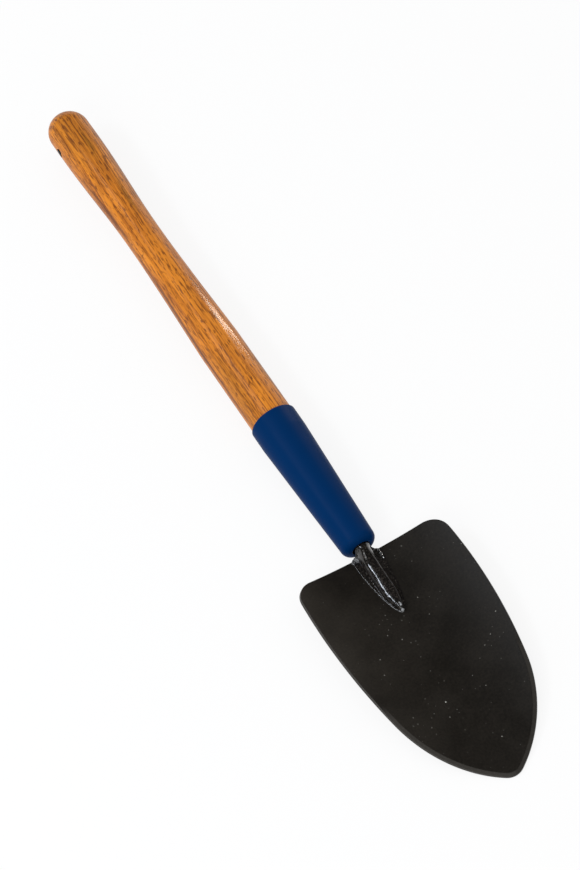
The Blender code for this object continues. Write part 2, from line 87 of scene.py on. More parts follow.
class TrowelSizes(bpy.types.PropertyGroup):
    handle_length: length("Handle length", "The whole turned handle", 0.3810)
    handle_in_ferrule: length("Handle in ferrule", "Wood that the ferrule hides", 0.0711)
    swell_diameter: length("Swell", "Thickest place near the butt", 0.0313)
    swell_from_butt: length("Swell from butt", "Where the swell starts to narrow", 0.0430)
    waist_diameter: length("Waist", "Thinnest place of the grip", 0.0260)
    waist_from_butt: length("Waist from butt", "Distance of the waist from the butt", 0.1180)
    waist_length: length("Waist length", "Parallel stretch at the waist", 0.0210)
    belly_diameter: length("Belly", "Thickest place near the ferrule", 0.0335)
    belly_from_lip: length("Belly from lip", "Distance of the belly from the ferrule", 0.0269)
    hang_hole: length("Hang hole", "Diameter of the hole across the butt", 0.00635)
    hang_hole_from_butt: length("Hang hole from butt", "Distance of the hole's middle", 0.0286)
    ferrule_length: length("Ferrule length", "From its lip to its mouth", 0.1170)
    ferrule_diameter: length("Ferrule", "Diameter at the lip", 0.0341)
    ferrule_straight: length("Ferrule straight", "Parallel end at the lip", 0.0155)
    ferrule_wall: length("Ferrule wall", "Thickness of the tube", 0.0012)
    nose_diameter: length("Nose", "Diameter where the taper ends", 0.0259)
    mouth_diameter: length("Mouth", "Opening that the shank comes out of", 0.0144)
    pin_station: length("Nail place", "Distance of the nail from the lip", 0.0600)
    pin_head: length("Nail head", "Diameter of the nail's head", 0.0050)
    shank_diameter: length("Shank", "Round neck of the forging", 0.0114)
    foot_length: length("Foot length", "From the blade's top edge to the foot's point", 0.0496)
    foot_width: length("Foot width", "Widest place of the foot", 0.0204)
    foot_height: length("Foot height", "Ridge of the foot over the blade", 0.0067)
    foot_end_height: length("Foot end height", "Ridge of the foot at its point", 0.0040)
    foot_bar_width: length("Foot bar", "Width of the round bar on the foot's flange", 0.0124)
    blade_length: length("Blade length", "From the top edge to the tip", 0.1868)
    blade_width: length("Blade width", "Widest place, seen square on", 0.1146)
    blade_thickness: length("Blade thickness", "Gauge of the plate", 0.0025)
    roll_radius: length("Roll radius", "Curvature of the blade's face", 0.1360)
    ground_width: length("Ground width", "Bevel along the lower edges", 0.0026)


class TrowelColours(bpy.types.PropertyGroup):
    wood_light: tint("Light wood", "Palest part of each growth ring", "#DE8828")
    wood_deep: tint("Deep wood", "Darker part of each growth ring", "#B4661A")
    wood_dark: tint("Dark lines", "Fibres and the start of each ring", "#86451B")
    wood_stain: tint("Stain", "Olive brown stains", "#7C5212")
    wood_vessel: tint("Pores", "Short dark pores along the grain", "#6A3814")
    # Near-black painted shade inside the hang hole
    hole_shade_tone: tint("Bore", "Bare dirty wood in the hang hole", "#0A0503")
    enamel: tint("Enamel", "Navy enamel of the ferrule", "#002A58")
    lacquer: tint("Lacquer", "Black lacquer of the forging", "#0D0B09")
    plate: tint("Plate", "Blackened plate of the blade", "#15120E")
    ground: tint("Ground edge", "Clear coated ground steel", "#3E3B37")
    grit: tint("Grit", "Pale grit caught under the blade's coat", "#B9B8B0")
    # Also the pale steel of the forging's painted highlights
    weld: tint("Weld", "Bare bright places of the weld", "#A9ABAD")
    nail: tint("Nail", "Bright wire of the nail", "#B9BABC")


# Shapes

def clamp(values):
    return np.clip(values, 0.0, 1.0)


def ease(share):
    """Goes from 0 to 1 with a level start and a level finish."""
    return 0.5 - 0.5 * np.cos(np.pi * clamp(share))


def joined(*coordinates):
    """Points of these coordinates, as one array whose last axis they are."""
    return np.stack(np.broadcast_arrays(*coordinates), -1)


def spread(start, finish, count):
    return np.linspace(start, finish, count)


def degrees(start, finish, count):
    """Even angles from one to another in degrees, given in radians."""
    return np.radians(spread(start, finish, count))


def around(columns):
    """Even angles of a whole turn, whose start isn't repeated at its end."""
    return spread(0, 2 * np.pi, columns + 1)[:-1]


def arc(centre, radius, angle):
    """Points of a circle at these angles, as an array of pairs."""
    return joined(centre[0] + radius * np.cos(angle), centre[1] + radius * np.sin(angle))


def square_reach(angle):
    """How far a square of side 1 reaches from its middle at each angle."""
    return 0.5 / np.maximum(np.abs(np.sin(angle)), np.abs(np.cos(angle)))


def scatter(cells, seed):
    """A number from -1 to 1 for each whole-number place: the three counts times big odd numbers,
    folded and multiplied until nothing of the order is left."""
    count = cells.astype(np.int64).astype(np.uint32)
    mixed = (count[..., 0] * np.uint32(374761393) + count[..., 1] * np.uint32(668265263)
             + count[..., 2] * np.uint32(2246822519) + np.uint32(seed * 3266489917 % 2 ** 32))
    for shift in (15, 13):
        mixed = (mixed ^ (mixed >> np.uint32(shift))) * np.uint32(2246822519)
    return (mixed ^ (mixed >> np.uint32(16))).astype(np.float64) / 2 ** 31 - 1.0


def ripple(points, cell, seed, height=1.0, octaves=2):
    """Smooth random height, about as much below 0 as above: values on a lattice of that cell,
    blended with the curve 3t^2 - 2t^3 along each axis, plus finer lattices of half the height
    each."""
    total = np.zeros(points.shape[:-1])
    for octave in range(octaves):
        place = points / cell * 2 ** octave + 17.3 * octave
        base = np.floor(place)
        blend = place - base
        blend = blend * blend * (3 - 2 * blend)
        for step in np.ndindex(2, 2, 2):
            share = np.prod(np.where(step, blend, 1 - blend), axis=-1)
            total += share * scatter(base + step, seed + octave) / 2 ** octave
    return total * height


def outward(grid):
    """Unit normals of a grid whose columns close, from the cross product of its two directions,
    turned to point away from the middle of each row."""
    across = np.roll(grid, -1, axis=1) - np.roll(grid, 1, axis=1)
    along = np.gradient(grid, axis=0)
    normal = np.cross(across, along)
    normal /= np.maximum(np.linalg.norm(normal, axis=-1, keepdims=True), 1e-12)
    away = np.sum(normal * (grid - grid.mean(axis=1, keepdims=True)), axis=-1)
    return normal if away.mean() > 0 else -normal


def raised(grid, height):
    return grid + outward(grid) * height[..., None]


def turned(profile, columns):
    """Carries (radius, y) points round the Y axis: x = r sin a and z = r cos a."""
    angle = around(columns)
    radius, y = np.asarray(profile, float).T[:, :, None]
    return joined(radius * np.sin(angle), y, radius * np.cos(angle))


def tipped(points, angle, move):
    """Turns points about X, y to y cos a - z sin a and z to y sin a + z cos a, and moves them."""
    x, y, z = np.moveaxis(np.asarray(points, float), -1, 0)
    c, s = math.cos(angle), math.sin(angle)
    return joined(x, c * y - s * z, s * y + c * z) + move


def skin(name, grid, start=None, end=None):
    """A closed mesh over a grid of the tool's points, rows by columns, whose columns join round,
    carried into the world.

    Each cell is one face. start and end are the points that close the first and the last row with
    a fan, and without them the last row joins the first. The enclosed volume, the sum of a . (b x
    c) over the faces' corners, says whether the faces point outwards, and they are turned if not.
    """
    rows, columns = grid.shape[:2]
    places = np.arange(rows * columns).reshape(rows, columns)
    beside = np.roll(places, -1, axis=1)
    if start is None:
        below, across = np.roll(places, -1, axis=0), np.roll(beside, -1, axis=0)
        cells = np.stack([places, beside, across, below], -1).reshape(-1, 4)
        fans = np.zeros((0, 3), int)
        points = grid.reshape(-1, 3)
    else:
        cells = np.stack([places[:-1], beside[:-1], beside[1:], places[1:]], -1).reshape(-1, 4)
        first, last = rows * columns, rows * columns + 1
        fans = np.concatenate([
            np.stack([np.full(columns, first), beside[0], places[0]], -1),
            np.stack([places[-1], beside[-1], np.full(columns, last)], -1)])
        points = np.concatenate([grid.reshape(-1, 3), [start, end]])
    points = tipped(points, TOOL_PITCH, TOOL_PLACE)
    a, b, c = (points[cells[:, i]] for i in (0, 1, 2))
    faces = cells.tolist() + fans.tolist()
    if np.sum(a * np.cross(b, c)) < 0:
        faces = [face[::-1] for face in faces]
    mesh = bpy.data.meshes.new(name)
    mesh.from_pydata(points, [], faces)
    mesh.update()
    return mesh


def put(name, data):
    """A new object in the scene, at the origin."""
    made = bpy.data.objects.new(name, data)
    bpy.context.scene.collection.objects.link(made)
    return made


def fit(mesh, material, node, sharp=None):
    """Shows a finished mesh in place of its node, smooth but for edges over so many degrees."""
    mesh.shade_smooth()
    if sharp is not None:
        mesh.set_sharp_from_angle(angle=math.radians(sharp))
    mesh.materials.clear()
    mesh.materials.append(material)
    piece = put(mesh.name, mesh)
    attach(piece, "root")
    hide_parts(node)


def paint_points(mesh, name, values):
    """Keeps one number for each point of a mesh, for its material to read."""
    kept = mesh.attributes.new(name, "FLOAT", "POINT")
    kept.data.foreach_set("value", np.asarray(values, np.float32).ravel())


# Materials. A noise's Scale is its number of cells in a metre, so that 1000 makes them 1 mm wide

def fill(tree, node, inputs):
    """Gives each of these sockets of a node, by name or number, a value or a link."""
    for key, value in inputs.items():
        if isinstance(value, bpy.types.NodeSocket):
            tree.links.new(value, node.inputs[key])
        else:
            node.inputs[key].default_value = value


def add(tree, kind, inputs=None, give=0, **settings):
    """Adds a node with its own settings, fills its sockets and returns one of its outputs."""
    node = tree.nodes.new("ShaderNode" + kind)
    for name, value in settings.items():
        setattr(node, name, value)
    fill(tree, node, inputs or {})
    return node.outputs[give]


def new_material(finish, *given):
    """A material named for its finish, which is a function that gives three things: the lowest
    tone of the surface, the layers over it, each a share and a tone, and the shader's sockets."""
    material = bpy.data.materials.new(finish.__name__)
    material.use_nodes = True
    tree = material.node_tree
    tone, layers, sockets = finish(tree, along_tool(tree), *given)
    for share, cover in layers:
        tone = add(tree, "Mix", {0: share, 6: tone, 7: cover}, 2, data_type="RGBA")
    fill(tree, tree.nodes["Principled BSDF"], {"Base Color": tone, **sockets})
    return material


def along_tool(tree):
    """Object coordinates turned into the tool's frame, so that Y runs along the handle."""
    place = Vector(TOOL_PLACE)
    place.rotate(Matrix.Rotation(-TOOL_PITCH, 3, "X"))
    return add(tree, "Mapping", {"Vector": add(tree, "TexCoord", give="Object"),
                                 "Location": -place, "Rotation": (-TOOL_PITCH, 0.0, 0.0)})


def stretched(tree, where, along, shift=(0.0, 0.0, 0.0)):
    """Coordinates whose pattern is drawn out along the tool by one over this share."""
    return add(tree, "Mapping", {"Vector": where, "Scale": (1.0, along, 1.0), "Location": shift})


def times(tone, factor):
    """A tone made lighter or darker by this factor."""
    return (*(value * factor for value in tone[:3]), 1.0)


# Growth rings 3.0 mm apart, whose heart lies to the right of the handle
RING = 3.0 * MM
HEART = (0.058, 0.0, -0.010)

# A painted sheen, pale wood on top of the grip left of its middle, then brown places in the
# wood, a nick, and the dark line where one ring runs along the left side: tone, middle, half of
# the width, length and depth in the tool's frame, and how much of it
WOOD_MARKS_AND_SHEEN = (
    # Painted sheen: the lightest wood on top of the grip, left of its middle
    ("wood_light", (-0.0015, 0.141, 0.0130), (0.0095, 0.048, 0.009), 0.60),
    ("wood_stain", (0.0110, 0.235, 0.0050), (0.0100, 0.080, 0.012), 0.30),
    ("wood_stain", (0.0020, 0.268, 0.0155), (0.0030, 0.020, 0.006), 0.55),
    ("wood_stain", (0.0036, 0.213, 0.0132), (0.0030, 0.024, 0.006), 0.55),
    ("wood_stain", (-0.0110, 0.1645, 0.0075), (0.0022, 0.0007, 0.004), 0.80),
    ("wood_stain", (0.0128, 0.035, 0.0060), (0.0060, 0.045, 0.009), 0.45),
    ("wood_stain", (-0.0020, 0.285, 0.0090), (0.0180, 0.065, 0.018), 0.30),
    ("wood_stain", (-0.0110, 0.030, 0.0090), (0.0120, 0.050, 0.012), 0.30),
    ("wood_vessel", (-0.0150, 0.100, 0.0032), (0.0060, 0.190, 0.0028), 0.90),
    ("wood_vessel", (-0.0135, 0.212, 0.0048), (0.0060, 0.055, 0.0028), 0.75),
)

# Long and short pores: noise scale, share of it along the tool, and how much each covers
PORES = ((1050.0, 0.060, 0.72), (1500.0, 0.11, 0.80))

# How far past the hang hole's wall its painted shade is full, and how far it reaches at all
HOLE_SHADE_REACH = (0.15 * MM, 0.30 * MM)


def lacquered_hardwood(tree, here, tones, sizes):
    """Straight-grained ring-porous hardwood, such as oak, turned smooth under a clear gloss.

    The eye sees orange wood with growth rings as long stripes at the sides and wide figures on
    top, rows of short dark pores along each ring, a few brown stains, and a thick gloss over it. A
    pale place on top of the grip's middle is a painted sheen, and the hang hole is painted
    near-black as its shade.
    """
    heart = stretched(tree, here, 0.035, tuple(-value for value in HEART))
    rings = add(tree, "TexWave", {"Vector": heart, "Scale": math.pi / 10 / RING,
                                  "Distortion": 3.6, "Detail": 2.0, "Detail Scale": 0.7},
                "Fac", wave_type="RINGS", rings_direction="Y", wave_profile="SAW")

    # Each ring starts dark and porous and pales over most of its width.
    late = add(tree, "MapRange", {"Value": rings, "From Max": 0.6, "To Min": 0.85,
                                  "To Max": 0.0}, interpolation_type="SMOOTHSTEP")
    drift = add(tree, "TexNoise", {"Vector": stretched(tree, here, 0.10), "Scale": 110.0,
                                   "Detail": 3.0})
    drift = add(tree, "MapRange", {"Value": drift, "From Min": 0.36, "From Max": 0.66},
                interpolation_type="SMOOTHSTEP")
    deep = add(tree, "Mix", {0: 0.5, 2: late, 3: drift}, data_type="FLOAT")

    # Fibres about 0.5 mm wide, and darker lines where a ring starts
    fibres = add(tree, "TexNoise", {"Vector": stretched(tree, here, 0.03), "Scale": 1000.0,
                                    "Detail": 2.0})
    fibre = add(tree, "MapRange", {"Value": fibres, "From Min": 0.42, "From Max": 0.76,
                                   "To Max": 0.60})
    start = add(tree, "MapRange", {"Value": rings, "From Max": 0.15, "To Min": 0.60,
                                   "To Max": 0.0}, interpolation_type="SMOOTHSTEP")
    lines = add(tree, "Math", {0: fibre, 1: start}, operation="MAXIMUM")
    layers = [(deep, tones.wood_deep), (lines, tones.wood_dark)]

    # Each place is a soft-edged egg shape, broken up by the fibres.
    broken = add(tree, "Math", {0: fibres, 1: -1.6, 2: 1.9}, operation="MULTIPLY_ADD")
    for tone, middle, halves, cover in WOOD_MARKS_AND_SHEEN:
        apart = add(tree, "VectorMath", {0: here, 1: middle}, operation="SUBTRACT")
        apart = add(tree, "VectorMath", {0: apart, 1: halves}, operation="DIVIDE")
        apart = add(tree, "VectorMath", {0: apart}, "Value", operation="LENGTH")
        apart = add(tree, "Math", {0: apart, 1: broken}, operation="MULTIPLY")
        share = add(tree, "MapRange", {"Value": apart, "From Min": 0.2, "From Max": 1.1,
                                       "To Min": cover, "To Max": 0.0},
                    interpolation_type="SMOOTHSTEP")
        layers.append((share, getattr(tones, tone)))

    # Pores about 8 and 3 mm long, most of them where a ring starts. The real ones are 0.2 to
    # 0.3 mm wide and are drawn up to twice as wide, so that they show.
    limit = add(tree, "MapRange", {"Value": rings, "From Min": 0.20, "From Max": 0.70,
                                   "To Min": 0.575, "To Max": 0.645})
    dashes = []
    for across, along, cover in PORES:
        dash = add(tree, "TexNoise", {"Vector": stretched(tree, here, along), "Scale": across,
                                      "Detail": 0.5})
        dash = add(tree, "Math", {0: dash, 1: limit}, operation="SUBTRACT")
        dashes.append(add(tree, "MapRange", {"Value": dash, "From Max": 0.05, "To Max": cover}))
    pore = add(tree, "Math", dict(enumerate(dashes)), operation="MAXIMUM")

    # The drilled hole is painted near-black, a painted shade over all that lies near its axis.
    apart = add(tree, "Mapping", {"Vector": here, "Scale": (0.0, 1.0, 1.0),
                                  "Location": (0.0, -hang_hole_place(sizes), 0.0)})
    apart = add(tree, "VectorMath", {0: apart}, "Value", operation="LENGTH")
    full, none = (sizes.hang_hole / 2 + reach for reach in HOLE_SHADE_REACH)
    hole_shade = add(tree, "MapRange", {"Value": apart, "From Min": full, "From Max": none,
                                     "To Min": 1.0, "To Max": 0.0})
    layers += [(pore, tones.wood_vessel), (hole_shade, tones.hole_shade_tone)]

    # The lacquer sinks a little over the pores and lies in faint waves.
    sunk = add(tree, "Bump", {"Height": pore, "Strength": 0.4, "Distance": 0.04 * MM},
               invert=True)
    flow = add(tree, "TexNoise", {"Vector": stretched(tree, here, 0.3), "Scale": 420.0,
                                  "Detail": 2.0})
    coat = add(tree, "Bump", {"Height": flow, "Strength": 0.4, "Distance": 0.02 * MM})
    return tones.wood_light, layers, {
        "Normal": sunk, "Roughness": 0.5, "Specular IOR Level": 0.1, "Coat Weight": 0.3,
        "Coat Roughness": 0.12, "Coat Normal": coat}


def navy_enamel(tree, here, tones):
    """Gloss enamel sprayed on drawn steel tube.

    The eye sees a deep even navy with a faint orange-peel ripple in its reflections.
    """
    cloud = add(tree, "TexNoise", {"Vector": here, "Scale": 60.0, "Detail": 3.0})
    peel = add(tree, "TexNoise", {"Vector": here, "Scale": 700.0, "Detail": 2.0})
    bump = add(tree, "Bump", {"Height": peel, "Strength": 0.25, "Distance": 0.06 * MM})
    return tones.enamel, [(cloud, times(tones.enamel, 0.93))], {
        "Normal": bump, "Roughness": 0.38, "Specular IOR Level": 0.025}


def lacquered_forging(tree, here, tones):
    """Hot-forged steel, scale and all, dipped in black lacquer.

    The eye sees near-black gloss whose highlights break up on hammer marks and scale pits, grey
    steel where the lacquer is rubbed off on the flare, and pale steel painted along the flange's
    left edge and at the point as painted highlights.
    """
    scale = add(tree, "TexNoise", {"Vector": here, "Scale": 900.0, "Detail": 4.0})
    patch = add(tree, "MapRange", {"Value": scale, "From Min": 0.48, "From Max": 0.66})
    patchy = add(tree, "TexNoise", {"Vector": here, "Scale": 900.0, "Detail": 3.0})
    patchy = add(tree, "MapRange", {"Value": patchy, "From Min": 0.36, "From Max": 0.54})
    # Pale steel: painted highlights along the flange's left edge and at the point, rubbed lacquer
    # on the flare
    wear_and_painted_light = add(tree, "Attribute", give="Fac", attribute_name="wear_and_painted_light")
    pale_steel = add(tree, "Math", {0: patchy, 1: wear_and_painted_light}, operation="MULTIPLY")
    rough = add(tree, "MapRange", {"Value": scale, "From Min": 0.3, "From Max": 0.7,
                                   "To Min": 0.10, "To Max": 0.24})
    pits = add(tree, "TexNoise", {"Vector": here, "Scale": 1300.0, "Detail": 3.0})
    bump = add(tree, "Bump", {"Height": pits, "Strength": 0.5, "Distance": 0.10 * MM})
    layers = [(patch, times(tones.lacquer, 8.0)), (pale_steel, tones.weld)]
    return tones.lacquer, layers, {"Roughness": rough, "Normal": bump, "Specular IOR Level": 0.5,
                                   "Coat Weight": 0.6, "Coat Roughness": 0.07}


def blackened_plate(tree, here, tones):
    """Hot-rolled plate, blackened and clear coated, with its lower edges ground.

    The eye sees a brown-black satin sheet with soft clouds, fine pale grit under the coat, and
    greyer metal on the cut and ground edges.
    """
    cloud = add(tree, "TexNoise", {"Vector": here, "Scale": 34.0, "Detail": 5.0})
    fleck = add(tree, "TexNoise", {"Vector": here, "Scale": 650.0, "Detail": 3.0})
    patch = add(tree, "MapRange", {"Value": add(tree, "Math", {0: cloud, 1: fleck}),
                                   "From Min": 0.8, "From Max": 1.25})

    # Pale grit up to 1.2 mm across in cells of 3.6 mm, more of it where the clouds are light,
    # drawn a little coarser than it is so that it shows. It lies in the sheet's plane, so its
    # height is left out, and a finer noise makes it uneven.
    uneven = add(tree, "TexNoise", {"Vector": here, "Scale": 1500.0, "Detail": 2.0}, "Color")
    uneven = add(tree, "VectorMath", {0: uneven, 3: 1.2 * MM}, operation="SCALE")
    sheet = add(tree, "VectorMath", {0: here, 1: uneven})
    grit = add(tree, "TexVoronoi", {"Vector": sheet, "Scale": 280.0}, voronoi_dimensions="2D")
    chosen = add(tree, "SeparateColor", {0: grit.node.outputs["Color"]}).node.outputs
    thick = add(tree, "Math", {0: cloud, 1: 0.9, 2: chosen["Red"]}, operation="MULTIPLY_ADD")
    radius = add(tree, "MapRange", {"Value": thick, "From Min": 1.27, "From Max": 1.57,
                                    "To Max": 0.18})
    inside = add(tree, "Math", {0: radius, 1: grit}, operation="SUBTRACT")
    bright = add(tree, "Math", {0: chosen["Green"], 1: 4.0}, operation="POWER")
    bright = add(tree, "MapRange", {"Value": bright, "To Min": 0.09, "To Max": 0.80})
    speck = add(tree, "MapRange", {"Value": inside, "From Max": 0.05, "To Max": bright})

    scratch = add(tree, "TexNoise", {"Vector": here, "Scale": 600.0, "Detail": 3.0})
    scratch = add(tree, "MapRange", {"Value": scratch, "From Min": 0.2, "From Max": 0.8,
                                     "To Min": 0.6})
    # The ground edges, with less grey on the right side as painted shade
    ground = add(tree, "Attribute", give="Fac", attribute_name="ground")
    ground = add(tree, "Math", {0: scratch, 1: ground}, operation="MULTIPLY")
    rough = add(tree, "MapRange", {"Value": cloud, "From Min": 0.3, "From Max": 0.7,
                                   "To Min": 0.36, "To Max": 0.50})
    mill = add(tree, "TexNoise", {"Vector": here, "Scale": 900.0, "Detail": 3.0})
    bump = add(tree, "Bump", {"Height": mill, "Strength": 0.35, "Distance": 0.08 * MM})
    layers = [(patch, times(tones.plate, 1.9)), (speck, tones.grit), (ground, tones.ground)]
    return tones.plate, layers, {"Roughness": rough, "Normal": bump, "Specular IOR Level": 0.20}


def weld_steel(tree, here, tones):
    """Arc-welded bead with patches of black lacquer left on it.

    The eye sees small bright bare places among the black, each with its own glint.
    """
    slag = add(tree, "TexNoise", {"Vector": here, "Scale": 900.0, "Detail": 3.0})
    pale_steel = add(tree, "MapRange", {"Value": slag, "From Min": 0.46, "From Max": 0.58})
    bump = add(tree, "Bump", {"Height": slag, "Strength": 0.5, "Distance": 0.2 * MM})
    return tones.lacquer, [(pale_steel, tones.weld)], {
        "Metallic": pale_steel, "Roughness": 0.3, "Normal": bump}


def bright_nail(tree, here, tones):
    """Drawn steel wire.

    The eye sees bright metal, lightly scuffed by the hammer on its head.
    """
    scuff = add(tree, "TexNoise", {"Vector": here, "Scale": 1200.0, "Detail": 4.0})
    rough = add(tree, "MapRange", {"Value": scuff, "To Min": 0.2, "To Max": 0.5})
    bump = add(tree, "Bump", {"Height": scuff, "Strength": 0.3, "Distance": 0.1 * MM})
    return tones.nail, [], {"Metallic": 1.0, "Roughness": rough, "Normal": bump}


# Handle

LIP_GAP = 0.1 * MM
TANG_HOLE = 8.6 * MM
TANG_HOLE_END = 4.1 * MM
TANG_LENGTH = 0.0950
END_CHAMFER = 1.2 * MM
SMOOTHED = 9 * MM
BEND = 0.6 * MM
BEND_START = 0.145

# Spacing, seed and height of the waves that the turning and the lacquer leave, which are drawn
# out along the handle
WOOD_WAVES = (18 * MM, 11, 0.05 * MM)

# Where the hang hole opens: how much wider the drill is, and how far that is past the swell's
# radius
HOLE_OPENING = ((0.35 * MM, 0.4 * MM), (0.1 * MM, -0.3 * MM), (0.0, -0.7 * MM))


def ferrule_radius(sizes, station):
    """Outer radius of the ferrule: parallel at its lip, then a straight taper to its nose."""
    rounding = (sizes.nose_diameter - sizes.mouth_diameter) / 2
    taper_end = sizes.ferrule_length - rounding
    share = (station - sizes.ferrule_straight) / (taper_end - sizes.ferrule_straight)
    lip, nose = sizes.ferrule_diameter / 2, sizes.nose_diameter / 2
    return lip + (nose - lip) * clamp(share)


def grip_length(sizes):
    return sizes.handle_length - sizes.handle_in_ferrule


def hang_hole_place(sizes):
    return grip_length(sizes) - sizes.hang_hole_from_butt


def handle_radius(sizes, y):
    """Radius of the grip at y: a round butt, then curves through swell, waist and belly to the
    ferrule's lip, each half straight and half eased. The joins are smoothed by taking the mean
    over a short stretch, which shrinks to nothing at the lip."""
    top = grip_length(sizes)
    swell, waist = sizes.swell_diameter / 2, sizes.waist_diameter / 2
    waist_y = top - sizes.waist_from_butt
    places = np.array([top - sizes.swell_from_butt, waist_y, waist_y - sizes.waist_length,
                       sizes.belly_from_lip, 0.0])
    radii = np.array([swell, waist, waist, sizes.belly_diameter / 2,
                      sizes.ferrule_diameter / 2 - sizes.ferrule_wall - LIP_GAP])

    def grip(at):
        index = np.clip(np.searchsorted(-places, -at, side="right") - 1, 0, len(places) - 2)
        share = clamp((places[index] - at) / (places[index] - places[index + 1]))
        return radii[index] + (radii[index + 1] - radii[index]) * (share + ease(share)) / 2

    window = np.minimum(SMOOTHED, np.maximum(y, 0.0))
    smooth = np.mean([grip(y + window * part) for part in spread(-1.0, 1.0, 9)], axis=0)
    past = np.clip(y - (top - swell), 0.0, swell)
    return np.minimum(smooth, np.sqrt(np.maximum(swell ** 2 - past ** 2, 0.0)))


def bend(sizes, points):
    """Moves points of the handle sideways by its slight bend: the square of the share of the way
    from the bend's start to the butt."""
    top = grip_length(sizes)
    share = clamp((points[..., 1] - BEND_START) / (top - BEND_START))
    return points - joined(BEND * share ** 2, 0.0, 0.0)


def handle_mesh(sizes):
    """The turned handle as one grid: butt, grip, the taper inside the ferrule, the end face, and
    the square hole that the tang is driven into."""
    columns = 160
    top = grip_length(sizes)
    swell = sizes.swell_diameter / 2
    butt = top - swell * (1 - np.sin(degrees(88.5, 2.0, 26)))
    grip_y = np.concatenate([butt, spread(top - swell, 0.0, 360)])
    grip = joined(handle_radius(sizes, grip_y), grip_y)
    inside = spread(0.0, sizes.handle_in_ferrule - END_CHAMFER, 14)[1:]
    gap = sizes.ferrule_wall + LIP_GAP
    hidden = joined(ferrule_radius(sizes, inside) - gap, -inside)
    face = np.array([[hidden[-1, 0] - END_CHAMFER, -sizes.handle_in_ferrule]])
    outside = turned(np.concatenate([grip, hidden, face]), columns)
    outside = bend(sizes, raised(outside, ripple(outside * (1.0, 0.35, 1.0), *WOOD_WAVES)))

    # The square hole, which narrows to its bottom
    angle = around(columns)
    reach = square_reach(angle)
    bottom = TANG_LENGTH - sizes.handle_in_ferrule
    hole = [joined(side * reach * np.sin(angle), y, side * reach * np.cos(angle))
            for side, y in ((TANG_HOLE, -sizes.handle_in_ferrule), (TANG_HOLE_END, bottom))]
    grid = np.concatenate([outside, hole])
    return skin("turned_handle", grid, (-BEND, top, 0.0), (0.0, bottom, 0.0))


def bore(sizes):
    """The drill for the hang hole: a rod along X whose radius opens where it leaves the wood."""
    ends = [(sizes.hang_hole / 2 + wider, sizes.swell_diameter / 2 + out)
            for wider, out in HOLE_OPENING]
    profile = [(r, -x) for r, x in ends] + [(r, x) for r, x in reversed(ends)]
    grid = turned(profile, 64)[..., [1, 0, 2]]
    y, end = hang_hole_place(sizes), ends[0][1]
    grid[..., 1] += y
    return skin("bore", grid, (-end, y, 0.0), (end, y, 0.0))


class TROWEL_OT_handle(bpy.types.Operator):
    """Turns the handle, drills its hang hole and finishes it in clear gloss."""
    bl_idname = "trowel.handle"
    bl_label = "Handle"

    def execute(self, context):
        sizes, colours = context.scene.trowel_sizes, context.scene.trowel_colours
        blank, drill = put("blank", handle_mesh(sizes)), put("drill", bore(sizes))
        cut = blank.modifiers.new("drill", "BOOLEAN")
        cut.object = drill
        cut.operation = "DIFFERENCE"
        cut.solver = "EXACT"
        graph = context.evaluated_depsgraph_get()
        mesh = bpy.data.meshes.new_from_object(blank.evaluated_get(graph))
        for used in (blank.data, drill.data):
            bpy.data.meshes.remove(used)
        mesh.name = "turned_handle"
        fit(mesh, new_material(lacquered_hardwood, colours, sizes), "handle", 40)
        return {"FINISHED"}


# Ferrule and nail

LIP_ROUNDING = 0.6 * MM
LIP_BEVEL = 0.2 * MM

# How far the nose stands to the left of the shank's middle
FERRULE_LEAN = 0.45 * MM

# Spacing, seed and height of the waves that drawing leaves in the tube
TUBE_WAVES = (14 * MM, 23, 0.03 * MM)


def ferrule_mesh(sizes):
    """A tube turned from a closed loop: lip, parallel end, taper, rounded nose and mouth on the
    outside, and the same inwards by the wall."""
    rounding = (sizes.nose_diameter - sizes.mouth_diameter) / 2
    lip = sizes.ferrule_diameter / 2
    wall = sizes.ferrule_wall
    centre = (sizes.nose_diameter / 2 - rounding, rounding - sizes.ferrule_length)
    station = spread(LIP_ROUNDING, sizes.ferrule_length - rounding, 180)[1:-1]
    outside = joined(ferrule_radius(sizes, station), -station)
    mouth = (centre[0], centre[1] - rounding + wall / 2)
    inner = joined(ferrule_radius(sizes, station[::-3]) - wall, -station[::-3])
    profile = np.concatenate([
        arc((lip - LIP_ROUNDING, -LIP_ROUNDING), LIP_ROUNDING, degrees(90, 0, 8)),
        outside,
        arc(centre, rounding, degrees(0, -90, 26))[:-1],
        arc(mouth, wall / 2, degrees(-90, -270, 12)),
        arc(centre, rounding - wall, degrees(-90, 0, 10))[1:],
        inner,
        [(lip - wall, -LIP_ROUNDING / 2), (lip - wall + LIP_BEVEL, 0.0)]])
    grid = turned(profile, 144)
    grid = raised(grid, ripple(grid * (1.0, 0.6, 1.0), *TUBE_WAVES))
    grid[..., 0] += FERRULE_LEAN * grid[..., 1] / sizes.ferrule_length
    return skin("enamelled_ferrule", grid)


class TROWEL_OT_ferrule(bpy.types.Operator):
    """Turns the enamelled ferrule."""
    bl_idname = "trowel.ferrule"
    bl_label = "Ferrule"

    def execute(self, context):
        fit(ferrule_mesh(context.scene.trowel_sizes),
            new_material(navy_enamel, context.scene.trowel_colours),
            "ferrule", 50)
        return {"FINISHED"}


NAIL_DIAMETER = 2.4 * MM
NAIL_LENGTH = 9.5 * MM
NAIL_DOME = 0.5 * MM
NAIL_RIM = 0.05 * MM
NAIL_POINT = 0.2 * MM
NAIL_GAP = 0.05 * MM


